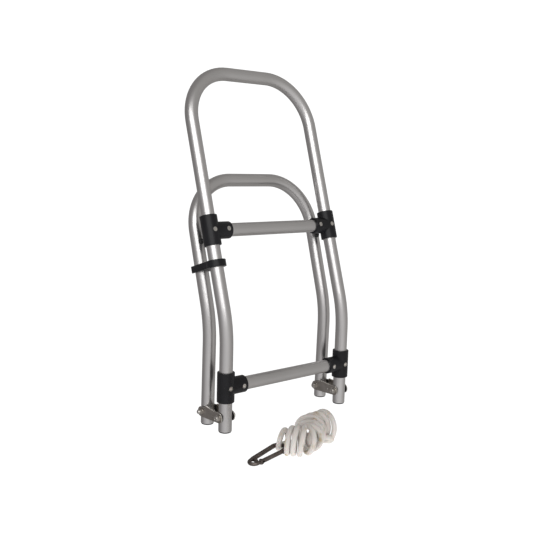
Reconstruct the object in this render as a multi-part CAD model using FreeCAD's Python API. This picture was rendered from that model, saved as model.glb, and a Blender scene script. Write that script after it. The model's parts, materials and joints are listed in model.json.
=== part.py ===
import FreeCAD, Part
import math
import os

V = FreeCAD.Vector

# Folding boat boarding ladder, stowed and standing on its feet. Millimetres.
# X runs along the rungs, +Y to the back, Z up. Sizes are worked out in a frame whose origin
# is on the floor midway between the front legs; export() then moves everything to the
# middle of the ladder's depth.

# Driving dimensions
tube_radius = 12.5
tube_wall = 1.5
leg_spacing = 292.0
lower_run = 158.0  # straight lower part of every leg, up to the lean bend
lean_radius = 230.0
lean_angle = 17.7
front_upper_run = 446.0  # end of the lean bend to the hoop's top centreline
rear_upper_run = 234.0
corner_radius = 97.0
rear_tilt = 1.1  # the stowed rear frame leans this much further forward
frame_gap = 55.5  # front leg axis to rear leg axis at the hinges
front_pivot_height = 28.7
rear_pivot_height = 26.3
rung_heights = {"lower": 85.0, "upper": 372.0}  # along the leg
clip_height = 310.9  # along the leg
bumper_height = 344.0
depth_centre = 71.4

# Fits
press_gap = 0.02
slip_gap = 0.05
pivot_gap = 0.075

tube_bore = tube_radius - tube_wall
half_spacing = leg_spacing / 2
sides = {"left": -half_spacing, "right": half_spacing}
lean = math.radians(lean_angle)
up_lean = V(0, math.sin(lean), math.cos(lean))
back_lean = V(0, math.cos(lean), -math.sin(lean))
X = V(1, 0, 0)
Z = V(0, 0, 1)


# Shape helpers
def profile(centre, normal, radius, bore=0.0):
    """A disc, or a ring if it has a bore."""
    disc = Part.Face(Part.Wire(Part.makeCircle(radius, centre, normal)))
    if bore:
        return disc.cut(Part.Face(Part.Wire(Part.makeCircle(bore, centre, normal)))).Faces[0]
    return disc


def rod(start, end, radius, bore=0.0):
    """A straight rod or tube from one point to another."""
    return profile(start, end - start, radius, bore).extrude(end - start)


def bend(start, centre, axis, degrees, radius, bore=0.0):
    """A bent rod or tube that begins at start and turns about an axis through centre."""
    tangent = axis.cross(start - centre)
    return profile(start, tangent, radius, bore).revolve(centre, axis, degrees)


def join(shapes):
    """One clean solid from touching shapes."""
    joined = shapes[0].fuse(shapes[1:]).removeSplitter()
    return joined.Solids[0] if len(joined.Solids) == 1 else joined


def cone(start, end, start_radius, end_radius):
    """A cone between two points."""
    along = end - start
    return Part.makeCone(start_radius, end_radius, along.Length, start, along)


def lathe(outline, base, axis):
    """A solid of revolution. outline is a list of edges in the plane of radius and height."""
    face = Part.Face(Part.Wire(outline))
    solid = face.revolve(V(0, 0, 0), Z, 360)
    solid.Placement = FreeCAD.Placement(base, FreeCAD.Rotation(Z, axis))
    return solid


def line(a, b):
    return Part.LineSegment(V(a[0], 0, a[1]), V(b[0], 0, b[1])).toShape()


def quarter(a, centre, b):
    """A quarter circle from a to b in the plane of radius and height."""
    a, centre, b = (V(p[0], 0, p[1]) for p in (a, centre, b))
    outward = (a + b) * 0.5 - centre
    middle = centre + outward * ((a - centre).Length / outward.Length)
    return Part.Arc(a, middle, b).toShape()


def rounded_rod(base, axis, length, radius, edge, round_start=True):
    """A cylinder with a rounded rim at its far end, and at its near end too if asked."""
    edges = []
    start_radius = radius
    start_height = 0.0
    if round_start:
        start_radius = radius - edge
        start_height = edge
    edges.append(line((0, 0), (start_radius, 0)))
    if round_start:
        edges.append(quarter((start_radius, 0), (start_radius, edge), (radius, edge)))
    edges.append(line((radius, start_height), (radius, length - edge)))
    top = (radius - edge, length)
    edges.append(quarter((radius, length - edge), (radius - edge, length - edge), top))
    edges.append(line(top, (0, length)))
    edges.append(line((0, length), (0, 0)))
    return lathe(edges, base, axis)


def hexagon(base, axis, across_flats, height):
    """A six-sided prism."""
    corner = across_flats / math.sqrt(3)
    corners = []
    for k in range(7):
        angle = k * math.pi / 3
        corners.append(V(corner * math.cos(angle), corner * math.sin(angle), 0))
    prism = Part.Face(Part.makePolygon(corners)).extrude(V(0, 0, height))
    prism.Placement = FreeCAD.Placement(base, FreeCAD.Rotation(Z, axis))
    return prism


def leg_point(distance, x):
    """A point on a leg's centreline, this far up from its lower end along the tube."""
    bend_length = lean_radius * lean
    if distance <= lower_run:
        return V(x, 0, distance)
    past = distance - lower_run - bend_length
    bend_end = V(x, lean_radius * (1 - math.cos(lean)), lower_run + lean_radius * math.sin(lean))
    return bend_end + up_lean * past


def stow_rear(shape):
    """Move a rear-frame shape from the front frame's pose to its stowed pose."""
    moved = shape.copy()
    moved.rotate(V(0, 0, rear_pivot_height), X, rear_tilt)
    moved.translate(V(0, frame_gap, 0))
    return moved


def export(name, shape):
    """Write one node, with the origin moved to the middle of the ladder's depth."""
    moved = shape.copy()
    moved.translate(V(0, -depth_centre, 0))
    if not moved.isValid():
        raise ValueError(f"{name} is not a valid shape")
    moved.exportStep(f"parts/{name}.step")
    box = moved.BoundBox
    size = f"{box.XLength:.1f} x {box.YLength:.1f} x {box.ZLength:.1f}"
    print(f"{name}: {len(moved.Solids)} solid(s), {size} mm")


# Screws
screw_radius = 2.5
screw_length = 10.0
screw_head_radius = 4.2
screw_head_depth = 2.3
screw_rim = 0.3
screw_key = 3.0
screw_key_depth = 1.9


def countersunk(base, out, grow=0.0, length=screw_length):
    """A countersunk screw whose flat top is at base and faces out, grown for its pocket."""
    rim_end = base - out * screw_rim
    head_end = base - out * screw_head_depth
    rim = rod(base, rim_end, screw_head_radius + grow)
    head = cone(rim_end, head_end, screw_head_radius + grow, screw_radius + grow)
    shank = rod(head_end, base - out * length, screw_radius + grow)
    return join([rim, head, shank])


def socket_screw(base, out, length=screw_length):
    """A countersunk screw with a hexagon socket."""
    key = hexagon(base - out * screw_key_depth, out, screw_key, screw_key_depth + 1)
    return countersunk(base, out, 0.0, length).cut(key)


def screw_pocket(base, out, open_height, length=screw_length):
    """What a screw takes out of the parts that it goes through, open above its head."""
    above = rod(base, base + out * open_height, screw_head_radius + slip_gap)
    return join([countersunk(base, out, slip_gap, length + 1), above])


# Tees: a sleeve on the leg and a socket for the rung, moulded in one piece
tee_radius = 16.25
tee_height = 56.0
tee_socket_radius = 16.0
tee_reach = 40.5  # leg axis to the end of the rung socket
tee_edge = 1.2
tee_screw_sink = 0.5
rung_screw_reach = 31.0
rung_end_gap = 1.0


def tee_frame(level):
    """The leg's direction and the way its front faces, at a rung."""
    if level == "lower":
        return Z, V(0, -1, 0)
    return up_lean, back_lean * -1


def tee_screws(level, side):
    """Top centre and direction of a tee's leg screw and of its rung screw."""
    inward = -1 if side == "right" else 1
    front = tee_frame(level)[1]
    centre = leg_point(rung_heights[level], sides[side])
    leg_screw = centre + front * (tee_radius - tee_screw_sink)
    rung_screw = centre + X * inward * rung_screw_reach + front * (tee_socket_radius - tee_screw_sink)
    return {"leg": (leg_screw, front), "rung": (rung_screw, front)}


def tee(level, side):
    """One tee, bored for its leg, its rung and its two screws."""
    inward = X * (-1 if side == "right" else 1)
    along = tee_frame(level)[0]
    centre = leg_point(rung_heights[level], sides[side])
    base = centre - along * (tee_height / 2)
    sleeve = rounded_rod(base, along, tee_height, tee_radius, tee_edge)
    socket = rounded_rod(centre, inward, tee_reach, tee_socket_radius, tee_edge, False)
    bore = tube_radius + slip_gap
    leg_bore = rod(base - along, base + along * (tee_height + 1), bore)
    rung_bore = rod(centre, centre + inward * (tee_reach + 1), bore)
    body = join([sleeve, socket]).cut(join([leg_bore, rung_bore]))
    for top, front in tee_screws(level, side).values():
        body = body.cut(screw_pocket(top, front, 3.0))
    return body.removeSplitter()


# Frames
plug_flange = 2.5
plug_flange_radius = 11.75
plug_edge = 1.0
plug_stem_radius = 10.9
plug_stem_bore = 8.4
plug_stem_length = 18.0
sleeve_radius = 5.0
sleeve_half_length = 12.75
bolt_radius = 3.0
bumper_stem_radius = 2.9

# The tilted rear plugs stand on the back edge of their rims, so the rear legs end a little higher.
tilt = math.radians(rear_tilt)
rear_edge_drop = (plug_flange_radius - plug_edge) * math.sin(tilt) - plug_edge * (1 - math.cos(tilt))
rear_end_height = rear_pivot_height - (rear_pivot_height - rear_edge_drop) / math.cos(tilt)


def hoop_tube(upper_run, foot_height):
    """Both legs and the top bar as one bent tube, in the front frame's pose."""
    x = -half_spacing
    bend_start = V(x, 0, lower_run)
    bend_centre = V(x, lean_radius, lower_run)
    bend_end = bend_centre - back_lean * lean_radius
    corner_start = bend_end + up_lean * (upper_run - corner_radius)
    corner_centre = corner_start + X * corner_radius
    corner_end = corner_centre + up_lean * corner_radius
    top_middle = V(0, corner_end.y, corner_end.z)
    section = (tube_radius, tube_bore)
    half = [
        rod(V(x, 0, foot_height), bend_start, *section),
        bend(bend_start, bend_centre, X * -1, lean_angle, *section),
        rod(bend_end, corner_start, *section),
        bend(corner_start, corner_centre, back_lean, 90, *section),
        rod(corner_end, top_middle, *section),
    ]
    return join(half + [piece.mirror(V(0, 0, 0), X) for piece in half])


def cross_hole(x, height):
    """The hole through a leg that takes its pivot sleeve."""
    reach = X * (tube_radius + 1)
    centre = V(x, 0, height)
    return rod(centre - reach, centre + reach, sleeve_radius + press_gap)


def front_frame_tube():
    """The front hoop, drilled for its pivots and for the screws of the tees and the clip."""
    tube = hoop_tube(front_upper_run, plug_flange)
    for side, x in sides.items():
        tube = tube.cut(cross_hole(x, front_pivot_height))
        for level in rung_heights:
            top, front = tee_screws(level, side)["leg"]
            tube = tube.cut(screw_pocket(top, front, 1.0))
    top, out = clip_screw_place()
    return tube.cut(screw_pocket(top, out, 1.0, clip_screw_length))


def bumper_place(side):
    """Leg axis and facing direction of a rear-frame bumper, in the front frame's pose."""
    return leg_point(bumper_height, sides[side]), back_lean * -1


def rear_frame_tube():
    """The rear hoop, drilled for its pivots and bumpers."""
    tube = hoop_tube(rear_upper_run, rear_end_height + plug_flange)
    for side, x in sides.items():
        tube = tube.cut(cross_hole(x, rear_pivot_height))
        centre, out = bumper_place(side)
        tube = tube.cut(rod(centre, centre + out * (tube_radius + 1), bumper_stem_radius + slip_gap))
    return stow_rear(tube)


def rung(level):
    """A straight tube between the legs, drilled for its two screws."""
    centre = leg_point(rung_heights[level], 0)
    half = X * (half_spacing - tube_radius - rung_end_gap)
    tube = rod(centre - half, centre + half, tube_radius, tube_bore)
    for side in sides:
        top, front = tee_screws(level, side)["rung"]
        tube = tube.cut(screw_pocket(top, front, 1.0))
    return tube


def end_plug(x, foot_height):
    """A moulded plug with a rim that the leg stands on and a hollow stem inside the tube."""
    base = V(x, 0, foot_height)
    top = foot_height + plug_flange
    rim = [
        line((0, 0), (plug_flange_radius - plug_edge, 0)),
        quarter(
            (plug_flange_radius - plug_edge, 0),
            (plug_flange_radius - plug_edge, plug_edge),
            (plug_flange_radius, plug_edge),
        ),
        line((plug_flange_radius, plug_edge), (plug_flange_radius, plug_flange)),
        line((plug_flange_radius, plug_flange), (0, plug_flange)),
        line((0, plug_flange), (0, 0)),
    ]
    stem = rod(V(x, 0, top), V(x, 0, top + plug_stem_length), plug_stem_radius, plug_stem_bore)
    return join([lathe(rim, base, Z), stem])


def pivot_sleeve(x, height):
    """The bush through a leg that a hinge bolt turns in."""
    half = X * sleeve_half_length
    centre = V(x, 0, height)
    return rod(centre - half, centre + half, sleeve_radius, bolt_radius + pivot_gap)


# Stow clip: a ring on the front left leg with an open fork for the rear leg
clip_depth = 12.9
clip_ring_radius = 18.4
clip_half_width = 16.8
clip_slot_radius = 12.95
clip_leg_distance = 47.85
clip_fork_reach = 10.0
clip_tip_round = 1.7
clip_rim_round = 0.8
clip_screw_length = 9.0


def clip_centre():
    return leg_point(clip_height, sides["left"])


def clip_screw_place():
    """Top centre and direction of the clip's screw, on the side that faces the rungs."""
    return clip_centre() + X * (clip_half_width - tee_screw_sink), X


def stow_clip():
    """The clip, drawn flat and then turned to lie square across the leaning leg."""
    low = -clip_depth / 2
    fork_end = clip_leg_distance + clip_fork_reach
    ring = Part.makeCylinder(clip_ring_radius, clip_depth, V(0, 0, low))
    block = Part.makeBox(2 * clip_half_width, fork_end, clip_depth, V(-clip_half_width, 0, low))
    slot_length = clip_fork_reach + 1
    slot_corner = V(-clip_slot_radius, clip_leg_distance, low)
    slot = Part.makeBox(2 * clip_slot_radius, slot_length, clip_depth, slot_corner)
    slot_end = Part.makeCylinder(clip_slot_radius, clip_depth, V(0, clip_leg_distance, low))
    bore = Part.makeCylinder(tube_radius + slip_gap, clip_depth, V(0, 0, low))
    body = ring.fuse(block).removeSplitter().cut(slot.fuse(slot_end)).cut(bore).removeSplitter()
    tips = []
    for edge in body.Edges:
        middle = edge.CenterOfMass
        if abs(middle.y - fork_end) < 0.01 and abs(middle.z) < 0.01:
            tips.append(edge)
    body = body.makeFillet(clip_tip_round, tips)
    rims = []
    for face in body.Faces:
        if abs(abs(face.CenterOfMass.z) - clip_depth / 2) < 0.01:
            rims.extend(face.OuterWire.Edges)
    body = body.makeFillet(clip_rim_round, rims)
    body.rotate(V(0, 0, 0), X, -lean_angle)
    body.translate(clip_centre())
    top, out = clip_screw_place()
    return body.cut(screw_pocket(top, out, 2.0, clip_screw_length))


# Rubber bumpers on the rear legs
bumper_radius = 5.4
bumper_proud = 3.5
bumper_barb_top = 10.2
bumper_barb_radius = 3.8
bumper_barb_length = 3.0


def bumper(side):
    """A domed rubber plug, pushed into a hole in the front of a rear leg."""
    centre, out = bumper_place(side)
    dome_start = tube_radius - 1.0
    dome = rounded_rod(
        centre + out * dome_start, out, bumper_proud + 1.0, bumper_radius, bumper_proud - 0.5, False
    )
    leg = rod(centre - up_lean * 20, centre + up_lean * 20, tube_radius)
    barb_top = centre + out * bumper_barb_top
    barb = cone(barb_top - out * bumper_barb_length, barb_top, bumper_stem_radius - 1, bumper_barb_radius)
    stem = rod(centre + out * (bumper_barb_top - 1), centre + out * (tube_radius + 1), bumper_stem_radius)
    return stow_rear(join([dome.cut(leg), stem, barb]))


# Hinges: two link plates on each side, one each side of the legs
plate_gap = 13.5  # leg axis to the plate's inner face
plate_thickness = 2.0
plate_end_radius = 9.5
plate_lip_reach = 2.6
plate_lip_start = 14.5
plate_lip_end = 42.0
plate_lip_rise = 3.0  # how far the lip stands above the plate at its rear end
plate_lip_round = 1.7
plate_dot_distance = 18.6
plate_dot_radius = 1.3
spacer_thickness = 0.65
spacer_radius = 9.0
washer_thickness = 1.0
washer_radius = 6.0
head_height = 4.0
nut_flats = 10.0
nut_hex_height = 4.5
nut_height = 6.0
nut_collar_radius = 4.3
nut_rim = 0.6
dome_hex_height = 3.2
dome_radius = 4.4
front_pivot = V(0, 0, front_pivot_height)
rear_pivot = V(0, frame_gap, rear_pivot_height)
link = rear_pivot - front_pivot
link_length = link.Length
link_along = link / link_length
link_slope = math.degrees(math.atan2(link.z, link.y))
plate_outside = plate_gap + plate_thickness


def plate_lip(direction):
    """The stiffening lip along a plate's top: it rises towards the rear and is turned in."""
    inner = direction * (plate_gap - plate_lip_reach)
    outer = direction * plate_outside
    top = plate_end_radius
    corners = [
        V(inner, plate_lip_start, top - plate_thickness),
        V(inner, plate_lip_start, top),
        V(inner, plate_lip_end, top + plate_lip_rise),
        V(inner, plate_lip_end, top - plate_thickness),
    ]
    lip = Part.Face(Part.makePolygon(corners + corners[:1])).extrude(V(outer - inner, 0, 0))
    below = Part.makeBox(
        plate_lip_reach,
        plate_lip_end - plate_lip_start,
        plate_lip_rise,
        V(min(inner, direction * plate_gap), plate_lip_start, top - plate_thickness - plate_lip_rise),
    )
    rise = math.degrees(math.atan(plate_lip_rise / (plate_lip_end - plate_lip_start)))
    below.rotate(V(0, plate_lip_start, top - plate_thickness), X, rise)
    bend_edge = []
    for edge in lip.Edges:
        middle = edge.CenterOfMass
        if abs(middle.x - outer) < 0.01 and middle.z > top and abs(middle.y - plate_lip_end) > 1:
            bend_edge.append(edge)
    return lip.makeFillet(plate_lip_round, bend_edge).cut(below)


def hinge_plate(x, direction, dotted):
    """A link plate with holes for its bolts and a lip over the gap between the legs."""
    near = direction * plate_gap
    flat = plate_thickness * direction
    start = V(near, 0, 0)
    end = V(near, link_length, 0)
    through = V(flat, 0, 0)
    corner = V(min(near, near + flat), 0, -plate_end_radius)
    middle = Part.makeBox(plate_thickness, link_length, 2 * plate_end_radius, corner)
    ends = [rod(hole, hole + through, plate_end_radius) for hole in (start, end)]
    body = join([middle, *ends, plate_lip(direction)])
    for hole in (start, end):
        body = body.cut(rod(hole - through, hole + through * 2, bolt_radius + slip_gap))
    if dotted:
        dot = start + V(0, plate_dot_distance, 0)
        body = body.cut(rod(dot - through, dot + through * 2, plate_dot_radius))
    body.rotate(V(0, 0, 0), X, link_slope)
    body.translate(front_pivot + X * x)
    return body


def capped_hexagon(base, axis, height):
    """A hexagon with its outer corners rounded off."""
    turned = rounded_rod(base, axis, height, nut_flats / math.sqrt(3), nut_rim, False)
    return hexagon(base, axis, nut_flats, height).common(turned)


def hinge_bolt(pivot, x, end_distance):
    """A hexagon bolt with its head on the +X side, and its end this far out on the other."""
    centre = pivot + X * x
    head = capped_hexagon(centre + X * plate_outside, X, head_height)
    shank = rod(centre + X * plate_outside, centre - X * end_distance, bolt_radius)
    return join([head, shank])


def hinge_spacer(pivot, x, direction):
    """A thin nylon washer between a leg and a plate."""
    face = pivot + X * (x + direction * plate_gap)
    return rod(face, face - X * direction * spacer_thickness, spacer_radius, bolt_radius + slip_gap)


def hinge_washer(pivot, x):
    base = pivot + X * (x - plate_outside)
    return rod(base, base - X * washer_thickness, washer_radius, bolt_radius + slip_gap)


def nut_base(pivot, x):
    return pivot + X * (x - plate_outside - washer_thickness)


def lock_nut(pivot, x):
    """A self-locking nut: a hexagon with a round collar."""
    base = nut_base(pivot, x)
    body = capped_hexagon(base, X * -1, nut_hex_height)
    collar = rounded_rod(base, X * -1, nut_height, nut_collar_radius, nut_rim, False)
    hole = rod(base + X, base - X * (nut_height + 1), bolt_radius + slip_gap)
    return join([body, collar]).cut(hole)


def dome_nut(pivot, x):
    """A cap nut: a hexagon with a ball end."""
    base = nut_base(pivot, x)
    body = hexagon(base, X * -1, nut_flats, dome_hex_height)
    ball = Part.makeSphere(dome_radius, base - X * dome_hex_height)
    inner_half = rod(base + X * 3, base - X * (dome_hex_height - 0.5), dome_radius + 1)
    hole = rod(base + X, base - X * (dome_hex_height + 1.5), bolt_radius + slip_gap)
    return join([body, ball.cut(inner_half)]).cut(hole)


# Snap hook: a pear-shaped bent rod with a spring gate. Its narrow end rests on the floor, and
# its wide end is held up by the rope that passes under it.
hook_wire = 4.0
hook_end_wire = 3.1
hook_small_radius = 8.6
hook_big_radius = 12.8
hook_span = 57.5
hook_place = V(-195.7, -148.5, 4.3)
hook_turn = 6.5
hook_tilt = 7.5
hook_taper = math.asin((hook_big_radius - hook_small_radius) / hook_span)
hook_small = V(0, 0, 0)
hook_big = V(hook_span, 0, 0)
gate_side = V(-math.sin(hook_taper), -math.cos(hook_taper), 0)
back_side = V(-math.sin(hook_taper), math.cos(hook_taper), 0)
gate_start = hook_small + gate_side * hook_small_radius
gate_end = hook_big + gate_side * hook_big_radius
gate_run = (gate_end - gate_start).Length
gate_along = (gate_end - gate_start) / gate_run
tongue_half = 1.5
gate_slot_half = 1.7
gate_pin_at = 7.5
gate_pin_radius = 1.3
gate_knuckle = 3.8
gate_wire = 3.7
tongue_radius = 3.1
shoulder_gap = 0.4
nose_tongue = 5.5
nose_radius = 4.8
nose_cap = 3.2
eyelet_half_depth = 2.5
eyelet_web = [(0.8, -6.5), (3.2, -6.5), (9.5, 4.5), (9.5, 8.2), (3.0, 8.2)]
nose_at = gate_run - 1.5
gate_spring_radius = 1.6
gate_spring_bore = 1.2
gate_spring_length = 14.0
gate_slot_end = 4.3
plunger_radius = 1.5
plunger_length = 3.0


def place_hook(shape):
    """Turn a shape from the hook's own frame to where the hook lies."""
    moved = shape.copy()
    moved.rotate(V(0, 0, 0), V(0, 1, 0), -hook_tilt)
    moved.rotate(V(0, 0, 0), Z, hook_turn)
    moved.translate(hook_place)
    return moved


def on_gate(distance, height=0.0):
    """A point on the gate's line, this far from where the small bend ends."""
    return gate_start + gate_along * distance + V(0, 0, height)


def slab(start, end, half_width, low, high):
    """A box along the gate's line between two distances."""
    across = V(-gate_along.y, gate_along.x, 0) * half_width
    a = on_gate(start, low)
    b = on_gate(end, low)
    base = Part.makePolygon([a - across, b - across, b + across, a + across, a - across])
    return Part.Face(base).extrude(V(0, 0, high - low))


def tongue_trim(start, end):
    """What is milled off above and below a tongue."""
    reach = hook_wire + 1
    below = slab(start, end, reach, -reach, -tongue_half)
    above = slab(start, end, reach, tongue_half, reach)
    return [below, above]


def eyelet_bar():
    """The bar across the narrow end, which closes off a small eye there."""
    corners = [V(x, y, -eyelet_half_depth) for x, y in eyelet_web]
    face = Part.Face(Part.makePolygon(corners + corners[:1]))
    return face.extrude(V(0, 0, 2 * eyelet_half_depth))


def snap_hook_body():
    """The bent rod, from the gate's hinge round both ends to the nose."""
    turn = math.degrees(hook_taper)
    back_start = hook_small + back_side * hook_small_radius
    back_end = hook_big + back_side * hook_big_radius
    hinge_end = on_gate(gate_pin_at)
    shoulder = gate_pin_at - gate_knuckle - shoulder_gap
    nose_end = nose_at - nose_tongue
    small_bend = bend(gate_start, hook_small, Z * -1, 180 - 2 * turn, hook_end_wire)
    blend_end = back_start + (back_end - back_start) * 0.12
    hinge_stub = rod(gate_start, on_gate(shoulder), hook_end_wire)
    hinge_tongue = slab(shoulder, gate_pin_at, tongue_radius, -tongue_half, tongue_half)
    hinge_tip = rod(hinge_end - Z * tongue_half, hinge_end + Z * tongue_half, tongue_radius)
    big_bend = bend(back_end, hook_big, Z * -1, 180 + 2 * turn, hook_wire)
    nose_length = gate_run - nose_at + nose_cap
    nose = rounded_rod(on_gate(nose_at), gate_along, nose_length, nose_radius, nose_cap - 0.4, False)
    nose_bar = rod(on_gate(nose_at), on_gate(nose_end), gate_wire - 0.3)
    for trim in tongue_trim(nose_end - 1, nose_at):
        nose_bar = nose_bar.cut(trim)
    pieces = [
        small_bend,
        cone(back_start, blend_end, hook_end_wire, hook_wire),
        rod(blend_end, back_end, hook_wire),
        big_bend,
        nose,
        nose_bar,
        hinge_stub,
        hinge_tongue,
        hinge_tip,
        eyelet_bar(),
    ]
    body = join(pieces)
    reach = Z * (hook_wire + 1)
    return place_hook(body.cut(rod(hinge_end - reach, hinge_end + reach, gate_pin_radius + slip_gap)))


def gate_pin_solid(grow=0.0):
    hinge = on_gate(gate_pin_at)
    half = Z * (gate_wire - 0.2)
    return rod(hinge - half, hinge + half, gate_pin_radius + grow)


def snap_hook_gate():
    """The gate: a rod forked over the hinge tongue and over the nose, bored for its spring."""
    hinge = on_gate(gate_pin_at)
    half = Z * (gate_wire - 0.2)
    free_end = nose_at - shoulder_gap
    bar = rod(hinge, on_gate(free_end), gate_wire)
    body = join([bar, rod(hinge - half, hinge + half, gate_knuckle)])
    reach = gate_knuckle + 1
    spring_start = gate_pin_at + gate_slot_end
    cuts = [
        slab(gate_pin_at - reach, spring_start, reach, -gate_slot_half, gate_slot_half),
        slab(nose_at - nose_tongue - shoulder_gap, free_end + 1, reach, -gate_slot_half, gate_slot_half),
        rod(
            on_gate(spring_start - 0.5),
            on_gate(spring_start + plunger_length + gate_spring_length),
            gate_spring_radius + slip_gap,
        ),
        gate_pin_solid(slip_gap),
    ]
    for cut in cuts:
        body = body.cut(cut)
    return place_hook(body)


def gate_plunger():
    """The small pin that the spring pushes against the hinge tongue."""
    start = gate_pin_at + tongue_radius + 0.3
    end = gate_pin_at + gate_slot_end + plunger_length
    return place_hook(rod(on_gate(start), on_gate(end), plunger_radius))


def gate_spring():
    """The compression spring in the gate, drawn as a sleeve of its outer size."""
    start = gate_pin_at + gate_slot_end + plunger_length
    end = start + gate_spring_length
    return place_hook(rod(on_gate(start), on_gate(end), gate_spring_radius, gate_spring_bore))


# Rope hank: the outer shape of the hanked rope, lying on the floor beside the hook
hank_place = V(-131.0, -158.2, 0)
hank_turn = 8.7
hank_sections = [(0, 20.0), (7, 22.5), (26, 22.5), (47, 29.5), (92, 29.5), (99, 26.0)]
hank_hook_gap = 0.5


def rope_hank():
    """Rings of the hank's radius along its axis, each resting on the floor, cut clear of the hook."""
    rings = []
    for distance, radius in hank_sections:
        rings.append(Part.Wire(Part.makeCircle(radius, V(distance, 0, radius), X)))
    hank = Part.makeLoft(rings, True, True)
    hank.rotate(V(0, 0, 0), Z, hank_turn)
    hank.translate(hank_place)
    low = V(0, 0, -hook_wire - 1)
    height = V(0, 0, 2 * hook_wire + 1 + hank_hook_gap)
    reach = hook_big_radius + hook_wire + hank_hook_gap
    big = rod(hook_big + low, hook_big + low + height, reach)
    corner = V(0, -reach, low.z)
    middle = Part.makeBox(hook_span, 2 * reach, height.z, corner)
    return hank.cut(place_hook(join([big, middle])))


def main():
    os.makedirs("parts", exist_ok=True)
    export("front_frame_tube", front_frame_tube())
    export("rear_frame_tube", rear_frame_tube())
    for level in rung_heights:
        export(f"{level}_rung", rung(level))
        for side in sides:
            export(f"tee_{level}_{side}", tee(level, side))
    for kind in ("leg", "rung"):
        screws = []
        for level in rung_heights:
            for side in sides:
                screws.append(socket_screw(*tee_screws(level, side)[kind]))
        export(f"tee_{kind}_screws", Part.makeCompound(screws))
    for side, x in sides.items():
        export(f"front_plug_{side}", end_plug(x, 0.0))
        export(f"rear_plug_{side}", stow_rear(end_plug(x, rear_end_height)))
        export(f"front_sleeve_{side}", pivot_sleeve(x, front_pivot_height))
        export(f"rear_sleeve_{side}", stow_rear(pivot_sleeve(x, rear_pivot_height)))
        export(f"bumper_{side}", bumper(side))
    export("stow_clip", stow_clip())
    export("clip_screw", socket_screw(*clip_screw_place(), clip_screw_length))
    export("hinge_plate_outer_left", hinge_plate(sides["left"], -1, True))
    export("hinge_plate_inner_left", hinge_plate(sides["left"], 1, False))
    export("hinge_plate_inner_right", hinge_plate(sides["right"], -1, True))
    export("hinge_plate_outer_right", hinge_plate(sides["right"], 1, False))
    washers = []
    nuts = []
    spacers = []
    nut_end = plate_outside + washer_thickness + nut_height
    for side, x in sides.items():
        for name, pivot in (("front", front_pivot), ("rear", rear_pivot)):
            domed = side == "left" and name == "rear"
            bolt_end = nut_end - (2.4 if domed else 0.4)
            export(f"{name}_bolt_{side}", hinge_bolt(pivot, x, bolt_end))
            washers.append(hinge_washer(pivot, x))
            spacers.append(hinge_spacer(pivot, x, -1))
            spacers.append(hinge_spacer(pivot, x, 1))
            if domed:
                export("dome_nut_left", dome_nut(pivot, x))
            else:
                nuts.append(lock_nut(pivot, x))
    export("hinge_washers", Part.makeCompound(washers))
    export("hinge_lock_nuts", Part.makeCompound(nuts))
    export("hinge_spacers", Part.makeCompound(spacers))
    export("snap_hook_body", snap_hook_body())
    export("snap_hook_gate", snap_hook_gate())
    export("hook_gate_pin", place_hook(gate_pin_solid()))
    export("gate_plunger", gate_plunger())
    export("gate_spring", gate_spring())
    export("rope_hank", rope_hank())


main()
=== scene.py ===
import json
import math

import bmesh
import bpy
from mathutils import Matrix, Vector

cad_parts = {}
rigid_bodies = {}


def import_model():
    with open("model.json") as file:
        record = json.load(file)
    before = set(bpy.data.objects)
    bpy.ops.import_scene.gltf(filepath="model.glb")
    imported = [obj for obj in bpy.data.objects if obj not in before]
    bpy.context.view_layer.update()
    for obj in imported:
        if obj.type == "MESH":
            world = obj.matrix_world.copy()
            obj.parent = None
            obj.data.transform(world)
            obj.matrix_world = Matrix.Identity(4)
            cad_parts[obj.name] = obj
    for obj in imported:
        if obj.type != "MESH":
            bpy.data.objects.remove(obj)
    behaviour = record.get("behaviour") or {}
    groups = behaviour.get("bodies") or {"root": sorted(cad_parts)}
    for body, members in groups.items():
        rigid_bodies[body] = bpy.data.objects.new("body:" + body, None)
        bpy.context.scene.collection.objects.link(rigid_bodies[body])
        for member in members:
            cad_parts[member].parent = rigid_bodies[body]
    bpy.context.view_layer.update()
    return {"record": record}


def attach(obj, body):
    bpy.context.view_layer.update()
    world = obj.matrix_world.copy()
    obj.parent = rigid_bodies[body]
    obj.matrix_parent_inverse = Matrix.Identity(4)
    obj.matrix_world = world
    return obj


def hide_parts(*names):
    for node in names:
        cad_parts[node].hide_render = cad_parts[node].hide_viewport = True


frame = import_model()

# Camera: angles in degrees, the turn from +Y towards +X.
camera_place = Vector((-0.937489, -1.130318, 0.493308))
camera_turn = 39.922
camera_down = 9.36
camera_roll = 1.54
camera_lens = 50.979
camera_shift = (-0.00384, 0.03334)

# Rope: one length, wound as a loose hank from hank_place, which is near the snap hook's wide end.
hank_place = Vector((-0.131, -0.2296, 0))
hank_turn = 8.7
# Millimetres along the hank away from the hook, to its left, and up.
rope_lead = [(50, 33, 4.7), (42, 35, 4.7), (34, 36.5, 4.7), (26, 36, 4.7), (18, 33.5, 4.7)]
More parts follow.
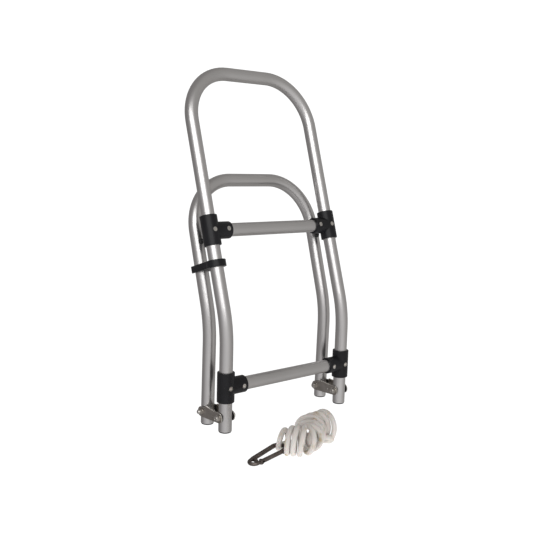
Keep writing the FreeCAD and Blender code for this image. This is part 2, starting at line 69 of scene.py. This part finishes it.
# Each turn where it stands on the floor: along, left, half height, half width, and yaw in degrees.
rope_turns = [(10.5, 30, 14.5, 15, 60), (4.5, 5, 21, 19.5, 60), (9.8, -4.2, 23, 20, 60),
              (15, -13.3, 24, 20, 58), (29, -17, 22.5, 19, 30), (44, -12, 20.5, 19, -20),
              (57, -3, 20, 21.5, -32), (67, 6, 21.5, 24.3, -34), (79.5, 14.5, 24.3, 25.5, -34),
              (83, 8, 23, 21, -20), (93, -3, 27.2, 23.5, 0), (96, -3, 26.5, 23, 5)]
rope_tail = [(96, -13, 5.5), (94.5, -20, 10), (90, -23, 16), (82, -20, 19), (72, -13, 18),
             (61, -9, 15), (50, -9, 14), (42, -12, 18), (39, -14, 26), (42, -14, 34),
             (50, -12, 39), (60, -7, 43), (71, 2, 48.5)]
rope_rest = 4.7  # height of its middle where it lies on the floor
points_per_turn = 16
curve_steps = 20  # between control points
rope_diameter = 0.009
rope_sides = 40
rope_step = 0.00068
path_stride = 4  # rings in one stride; the rope's ring count is kept a whole number of strides
braid_strands = 8
braid_pitch = 0.0025
braid_relief = 0.0006
braid_sunk = 0.6  # share of the relief that lies under the rope's radius
braid_dip = 0.45  # how much a strand sinks beside the middle of the one that it crosses
sealed_length = 0.005
neck_length = 0.0035  # of the rounded end
neck_least = 0.05  # share of the radius at its tip

# Light
floor_reach = 6.0
floor_colour = (0.9, 0.9, 0.9, 1)
floor_glow = 0.95
backdrop_glow = 1.1
world_right = (0.77, -0.64, 0)
world_sides = [(0.0, (0.26, 0.25, 0.25)), (0.45, (0.29, 0.28, 0.275)),
               (0.75, (0.38, 0.37, 0.36)), (1.0, (0.42, 0.41, 0.40))]
world_low_front = (-0.56, -0.72, -0.42)
world_glow = [(0.55, (0, 0, 0)), (0.8, (0.18, 0.18, 0.185)), (1.0, (0.42, 0.42, 0.43))]
key_place = Vector((-1.24, -1.21, 1.35))
key_target = Vector((0, 0, 0.35))
key_size = (2.1, 1.2)
key_power = 18

# A Mix node's colour sockets
mix_a, mix_b, mixed = 6, 7, 2


def make_camera():
    turn, down, roll = (math.radians(a) for a in (camera_turn, camera_down, camera_roll))
    ahead = Vector((math.sin(turn) * math.cos(down), math.cos(turn) * math.cos(down),
                    -math.sin(down)))
    level = Vector((math.cos(turn), -math.sin(turn), 0))
    above = level.cross(ahead)
    right = level * math.cos(roll) + above * math.sin(roll)
    up = above * math.cos(roll) - level * math.sin(roll)
    data = bpy.data.cameras.new("camera")
    data.sensor_width = 36
    data.lens = camera_lens
    data.shift_x, data.shift_y = camera_shift
    data.clip_end = 50
    camera = bpy.data.objects.new("camera", data)
    rotation = Matrix((right, up, -ahead)).transposed()
    camera.matrix_world = Matrix.Translation(camera_place) @ rotation.to_4x4()
    bpy.context.collection.objects.link(camera)
    bpy.context.scene.camera = camera


def fill_ramp(node, stops):
    """Give a colour ramp these stops, each a position and a colour."""
    elements = node.color_ramp.elements
    while len(elements) < len(stops):
        elements.new(0.5)
    for element, (position, colour) in zip(elements, stops):
        element.position = position
        element.color = (*colour, 1)


class Nodes:
    """A material's node tree, with short ways to add nodes and link them."""

    def __init__(self, name):
        self.material = bpy.data.materials.new(name)
        self.material.use_nodes = True
        self.tree = self.material.node_tree
        self.shader = self.tree.nodes["Principled BSDF"]

    def add(self, kind, **values):
        node = self.tree.nodes.new(kind)
        for key, value in values.items():
            setattr(node, key, value)
        return node

    def link(self, out, into):
        self.tree.links.new(out, into)

    def drive(self, name, out):
        """Link a node's output to the shader's socket of this name."""
        self.link(out, self.shader.inputs[name])

    def set(self, **values):
        """Constants straight on the shader's sockets."""
        for key, value in values.items():
            self.shader.inputs[key.replace("_", " ")].default_value = value

    def place(self, scale=(1, 1, 1)):
        """Object coordinates, times a scale."""
        coordinates = self.add("ShaderNodeTexCoord")
        mapping = self.add("ShaderNodeMapping")
        mapping.inputs["Scale"].default_value = scale
        self.link(coordinates.outputs["Object"], mapping.inputs["Vector"])
        return mapping.outputs["Vector"]

    def noise(self, vector, scale, detail):
        node = self.add("ShaderNodeTexNoise")
        node.inputs["Scale"].default_value = scale
        node.inputs["Detail"].default_value = detail
        self.link(vector, node.inputs["Vector"])
        return node.outputs["Fac"]

    def ramp(self, factor, stops):
        node = self.add("ShaderNodeValToRGB")
        fill_ramp(node, stops)
        self.link(factor, node.inputs["Fac"])
        return node.outputs["Color"]

    def span(self, factor, low, high, out_low, out_high):
        """The factor's range from low to high, stretched to another range."""
        node = self.add("ShaderNodeMapRange")
        names = ("From Min", "From Max", "To Min", "To Max")
        for socket, value in zip(names, (low, high, out_low, out_high)):
            node.inputs[socket].default_value = value
        self.link(factor, node.inputs["Value"])
        return node.outputs["Result"]

    def bump(self, height, strength, distance):
        node = self.add("ShaderNodeBump")
        node.inputs["Strength"].default_value = strength
        node.inputs["Distance"].default_value = distance
        self.link(height, node.inputs["Height"])
        return node.outputs["Normal"]


def anodised():
    """Satin anodised aluminium: fine frosting and a slow drift of tone."""
    nodes = Nodes("anodised_aluminium")
    nodes.set(Metallic=1.0)
    place = nodes.place()
    drift = nodes.noise(place, 9.0, 3.0)
    tones = [(0.3, (0.60, 0.59, 0.585)), (0.7, (0.66, 0.65, 0.645))]
    nodes.drive("Base Color", nodes.ramp(drift, tones))
    frost = nodes.noise(place, 900.0, 2.0)
    nodes.drive("Roughness", nodes.span(frost, 0.3, 0.7, 0.30, 0.36))
    nodes.drive("Normal", nodes.bump(frost, 0.06, 0.0002))
    return nodes.material


def nylon():
    """Black moulded nylon with a faint sparked texture."""
    nodes = Nodes("black_nylon")
    nodes.set(Specular_IOR_Level=0.27)
    place = nodes.place()
    drift = nodes.noise(place, 30.0, 2.0)
    tones = [(0.3, (0.005, 0.005, 0.006)), (0.7, (0.009, 0.009, 0.011))]
    nodes.drive("Base Color", nodes.ramp(drift, tones))
    grain = nodes.noise(place, 1400.0, 2.0)
    nodes.drive("Roughness", nodes.span(grain, 0.3, 0.7, 0.31, 0.4))
    nodes.drive("Normal", nodes.bump(grain, 0.12, 0.0002))
    return nodes.material


def rubber():
    """Matt black rubber with a fine grain."""
    nodes = Nodes("black_rubber")
    nodes.set(Roughness=0.65)
    grain = nodes.noise(nodes.place(), 1200.0, 2.0)
    tones = [(0.3, (0.012, 0.012, 0.012)), (0.7, (0.02, 0.02, 0.02))]
    nodes.drive("Base Color", nodes.ramp(grain, tones))
    nodes.drive("Normal", nodes.bump(grain, 0.1, 0.0002))
    return nodes.material


def steel(name, dark, light, rough, stretch=(1, 1, 1), edge_highlight=None):
    """Plain or brushed steel between two tones. If an edge colour is given, faces not turned to ±X,
    its sheared edges, are lighter: partly bare cut steel, partly a painted highlight.
    """
    nodes = Nodes(name)
    nodes.set(Metallic=1.0)
    drift = nodes.noise(nodes.place(), 60.0, 4.0)
    colour = nodes.ramp(drift, [(0.3, dark), (0.7, light)])
    if edge_highlight:
        # Painted highlight: faces turned away from ±X, a plate's edges and lip, mix towards the
        # lighter edge colour; partly the bare steel of the cut.
        facing = nodes.add("ShaderNodeSeparateXYZ")
        nodes.link(nodes.add("ShaderNodeTexCoord").outputs["Normal"], facing.inputs["Vector"])
        sideways = nodes.add("ShaderNodeMath", operation="ABSOLUTE")
        nodes.link(facing.outputs["X"], sideways.inputs[0])
        mix = nodes.add("ShaderNodeMix", data_type="RGBA")
        nodes.link(nodes.span(sideways.outputs["Value"], 0.45, 0.7, 1, 0), mix.inputs["Factor"])
        nodes.link(colour, mix.inputs[mix_a])
        mix.inputs[mix_b].default_value = (*edge_highlight, 1)
        colour = mix.outputs[mixed]
    nodes.drive("Base Color", colour)
    brushed = nodes.noise(nodes.place(stretch), 500.0, 3.0)
    nodes.drive("Roughness", nodes.span(brushed, 0.3, 0.7, rough - 0.06, rough + 0.08))
    nodes.drive("Normal", nodes.bump(brushed, 0.15, 0.0002))
    return nodes.material


def rope_fibre():
    """White polyester braid: matt yarn with a soft sheen, a little grubby in places, and painted
    shade in the crevices between its strands.
    """
    nodes = Nodes("white_rope")
    nodes.set(Roughness=0.85, Specular_IOR_Level=0.3, Sheen_Weight=0.3, Sheen_Roughness=0.5,
              Subsurface_Weight=0.1, Subsurface_Scale=0.002)
    place = nodes.place()
    drift = nodes.noise(place, 70.0, 3.0)
    tones = [(0.3, (0.68, 0.65, 0.62)), (0.6, (0.63, 0.595, 0.56)), (0.74, (0.46, 0.37, 0.24))]
    # Painted shade: the colour is multiplied down to about half where the braid is low, in the
    # crevices between strands.
    relief = nodes.add("ShaderNodeAttribute", attribute_name="relief").outputs["Fac"]
    mix = nodes.add("ShaderNodeMix", data_type="RGBA", blend_type="MULTIPLY")
    mix.inputs["Factor"].default_value = 1.0
    nodes.link(nodes.ramp(drift, tones), mix.inputs[mix_a])
    nodes.link(nodes.ramp(relief, [(0.0, (0.55, 0.52, 0.49)), (0.6, (1, 1, 1))]), mix.inputs[mix_b])
    nodes.drive("Base Color", mix.outputs[mixed])
    nodes.drive("Normal", nodes.bump(nodes.noise(place, 2600.0, 2.0), 0.35, 0.0003))
    return nodes.material


def sealed_fibre():
    """Rope end melted to stop it fraying."""
    nodes = Nodes("sealed_rope_end")
    nodes.set(Roughness=0.45)
    char = nodes.noise(nodes.place(), 500.0, 4.0)
    tones = [(0.35, (0.12, 0.055, 0.015)), (0.55, (0.42, 0.22, 0.07)), (0.75, (0.62, 0.42, 0.2))]
    nodes.drive("Base Color", nodes.ramp(char, tones))
    nodes.drive("Normal", nodes.bump(char, 0.4, 0.0004))
    return nodes.material


def rope_points():
    """Control points of the rope's spline, from its tucked end through the hook to its free end."""
    yaw = math.radians(hank_turn)
    along = Vector((math.cos(yaw), math.sin(yaw), 0))
    left = Vector((-math.sin(yaw), math.cos(yaw), 0))
    up = Vector((0, 0, 1))

    def local(a, b, c):
        return hank_place + (along * a + left * b + up * c) / 1000

    points = [local(*p) for p in rope_lead]
    for step in range((len(rope_turns) - 1) * points_per_turn + 1):
        turn = min(step // points_per_turn, len(rope_turns) - 2)
        part = step / points_per_turn - turn
        share = part * part * (1.5 - part) + part / 2
        start, end = rope_turns[turn:turn + 2]
        a, b, tall, wide, skew = (u + (v - u) * share for u, v in zip(start, end))
        angle = -math.pi / 2 - math.tau * part
        skew = math.radians(skew)
        side = wide * math.cos(angle)
        points.append(local(a + side * math.sin(skew), b + side * math.cos(skew),
                            rope_rest + tall * (1 + math.sin(angle))))
    return points + [local(*p) for p in rope_tail]


def follow(points):
    """Points along a smooth curve with these control points."""
    data = bpy.data.curves.new("rope_route", "CURVE")
    data.dimensions = "3D"
    data.resolution_u = curve_steps
    spline = data.splines.new("NURBS")
    spline.points.add(len(points) - 1)
    for place, point in zip(spline.points, points):
        place.co = (*point, 1)
    spline.order_u = 3
    spline.use_endpoint_u = True
    route = bpy.data.objects.new("rope_route", data)
    mesh = bpy.data.meshes.new_from_object(route)
    path = [v.co.copy() for v in mesh.vertices]
    bpy.data.objects.remove(route)
    bpy.data.meshes.remove(mesh)
    return path


def measure(path):
    return sum((b - a).length for a, b in zip(path, path[1:]))


def even(path):
    """The same line with its points evenly spaced, about a rope_step apart, in whole strides."""
    total = measure(path)
    count = path_stride * round(total / rope_step / path_stride)
    line = [path[0]]
    passed = 0.0
    for a, b in zip(path, path[1:]):
        gap = (b - a).length
        while len(line) < count and len(line) * total / count <= passed + gap:
            line.append(a + (b - a) * ((len(line) * total / count - passed) / gap))
        passed += gap
    return line + [path[-1]]


def braid_height(around, along):
    """How proud the braid stands, 0 to 1: two sets of strands that cross over and under."""
    one = around * braid_strands + along / braid_pitch / 2
    other = around * braid_strands - along / braid_pitch / 2
    over, under = (one, other) if (math.floor(one) + math.floor(other)) % 2 else (other, one)
    across = 2 * (over - math.floor(over)) - 1
    beneath = 2 * (under - math.floor(under)) - 1
    return (1 - across ** 2) * (1 - braid_dip * beneath ** 2)


def braided_tube(path):
    """Vertices, faces and relief of a braided tube along a path, rounded and smooth at its ends."""
    vertices, faces, heights = [], [], []
    normal = Vector((0, 0, 1)).cross(path[1] - path[0]).normalized()
    length = 0.0
    total = measure(path)
    last = len(path) - 1
    for i, point in enumerate(path):
        ahead = (path[min(i + 1, last)] - path[max(i - 1, 0)]).normalized()
        normal = (normal - ahead * normal.dot(ahead)).normalized()
        across = ahead.cross(normal)
        if i:
            length += (point - path[i - 1]).length
        from_end = min(length, total - length)
        melt = min(1.0, from_end / sealed_length)
        neck = math.sqrt(max(0.0, 1 - (1 - min(1.0, from_end / neck_length)) ** 2))
        core = (rope_diameter / 2 - braid_relief * braid_sunk) * max(neck, neck_least)
        for k in range(rope_sides):
            share = k / rope_sides
            angle = share * math.tau
            height = braid_height(share, length)
            heights.append(height)
            outward = normal * math.cos(angle) + across * math.sin(angle)
            vertices.append(point + outward * (core + height * braid_relief * melt))
    for i in range(last):
        for k in range(rope_sides):
            a = i * rope_sides + k
            b = i * rope_sides + (k + 1) % rope_sides
            faces.append((a, b, b + rope_sides, a + rope_sides))
    faces.append(tuple(reversed(range(rope_sides))))
    faces.append(tuple(range(last * rope_sides, len(vertices))))
    return vertices, faces, heights


def make_rope():
    """The rope as one braided tube along its route, with both ends sealed."""
    path = even(follow(rope_points()))
    vertices, faces, heights = braided_tube(path)
    mesh = bpy.data.meshes.new("rope")
    mesh.from_pydata(vertices, [], faces)
    # The braid's height, kept so that the material can paint shade into its crevices.
    mesh.attributes.new("relief", "FLOAT", "POINT").data.foreach_set("value", heights)
    mesh.materials.append(rope_fibre())
    mesh.materials.append(sealed_fibre())
    sealed = round(sealed_length / rope_step)
    for face in mesh.polygons:
        face.use_smooth = True
        ring = face.index // rope_sides
        if ring < sealed or ring > len(path) - 2 - sealed:
            face.material_index = 1
    rope = bpy.data.objects.new("rope", mesh)
    bpy.context.collection.objects.link(rope)
    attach(rope, "front_frame")
    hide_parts("rope_hank")


def assign(material, slot):
    """Give a material to every CAD node of one record slot."""
    for part in frame["record"]["subparts"]:
        if part["material_slot"] == slot:
            for material_slot in bpy.data.objects[part["node"]].material_slots:
                material_slot.material = material


def glowing(name, colour, glow):
    """A matt material that gives out white light."""
    nodes = Nodes(name)
    nodes.set(Base_Color=colour, Roughness=1.0, Specular_IOR_Level=0.0,
              Emission_Color=(1, 1, 1, 1), Emission_Strength=glow)
    return nodes.material


def make_stage():
    """A wide pale floor that lights the ladder from below, and a white dome that the camera sees.

    The camera doesn't see the floor, so a rear frame that is swung down past it isn't hidden.
    """
    floor_mesh = bpy.data.meshes.new("floor")
    corners = [(x * floor_reach, y * floor_reach, 0)
               for x, y in ((-1, -1), (1, -1), (1, 1), (-1, 1))]
    floor_mesh.from_pydata(corners, [], [(0, 1, 2, 3)])
    floor_mesh.materials.append(glowing("floor", floor_colour, floor_glow))
    floor = bpy.data.objects.new("floor", floor_mesh)
    floor.visible_camera = False

    dome_mesh = bpy.data.meshes.new("backdrop")
    build = bmesh.new()
    bmesh.ops.create_icosphere(build, subdivisions=4, radius=floor_reach)
    build.to_mesh(dome_mesh)
    build.free()
    dome_mesh.materials.append(glowing("backdrop", (0, 0, 0, 1), backdrop_glow))
    backdrop = bpy.data.objects.new("backdrop", dome_mesh)
    backdrop.visible_diffuse = False
    backdrop.visible_transmission = False
    backdrop.visible_shadow = False

    for piece in (floor, backdrop):
        piece.visible_glossy = False
        bpy.context.collection.objects.link(piece)


def make_world():
    """Dim studio surroundings, lighter towards the camera's right and low in front."""
    world = bpy.data.worlds.new("world")
    bpy.context.scene.world = world
    world.use_nodes = True
    tree = world.node_tree
    direction = tree.nodes.new("ShaderNodeTexCoord").outputs["Generated"]

    def along(axis, stops):
        """A grey that runs through the stops as the direction turns towards an axis."""
        towards = tree.nodes.new("ShaderNodeVectorMath")
        towards.operation = "DOT_PRODUCT"
        towards.inputs[1].default_value = axis
        tree.links.new(direction, towards.inputs[0])
        place = tree.nodes.new("ShaderNodeMapRange")
        place.inputs["From Min"].default_value = -1.0
        tree.links.new(towards.outputs["Value"], place.inputs["Value"])
        ramp = tree.nodes.new("ShaderNodeValToRGB")
        fill_ramp(ramp, stops)
        tree.links.new(place.outputs["Result"], ramp.inputs["Fac"])
        return ramp.outputs["Color"]

    blend = tree.nodes.new("ShaderNodeMix")
    blend.data_type = "RGBA"
    blend.blend_type = "ADD"
    blend.inputs["Factor"].default_value = 1.0
    tree.links.new(along(world_right, world_sides), blend.inputs[mix_a])
    tree.links.new(along(world_low_front, world_glow), blend.inputs[mix_b])
    tree.links.new(blend.outputs[mixed], tree.nodes["Background"].inputs["Color"])


def make_key():
    """One large soft light, high in front."""
    data = bpy.data.lights.new("key", "AREA")
    data.shape = "RECTANGLE"
    data.size, data.size_y = key_size
    data.energy = key_power
    lamp = bpy.data.objects.new("key", data)
    lamp.location = key_place
    lamp.visible_camera = False
    lamp.rotation_euler = (key_target - key_place).to_track_quat("-Z", "Y").to_euler()
    bpy.context.collection.objects.link(lamp)


make_camera()
make_rope()
make_stage()
make_world()
make_key()

assign(anodised(), "anodised_tube")
assign(nylon(), "black_nylon")
assign(rubber(), "black_rubber")
assign(steel("stainless", (0.55, 0.53, 0.50), (0.68, 0.66, 0.63), 0.18), "stainless")
# The link plates' lighter edges are partly bare cut steel and partly a painted highlight.
assign(steel("link_steel", (0.36, 0.33, 0.30), (0.48, 0.45, 0.42), 0.34, stretch=(1, 0.15, 4),
             edge_highlight=(0.74, 0.71, 0.67)), "link_steel")
assign(steel("hook_steel", (0.13, 0.11, 0.10), (0.22, 0.19, 0.175), 0.40), "hook_steel")

bpy.context.scene.view_settings.view_transform = "Standard"
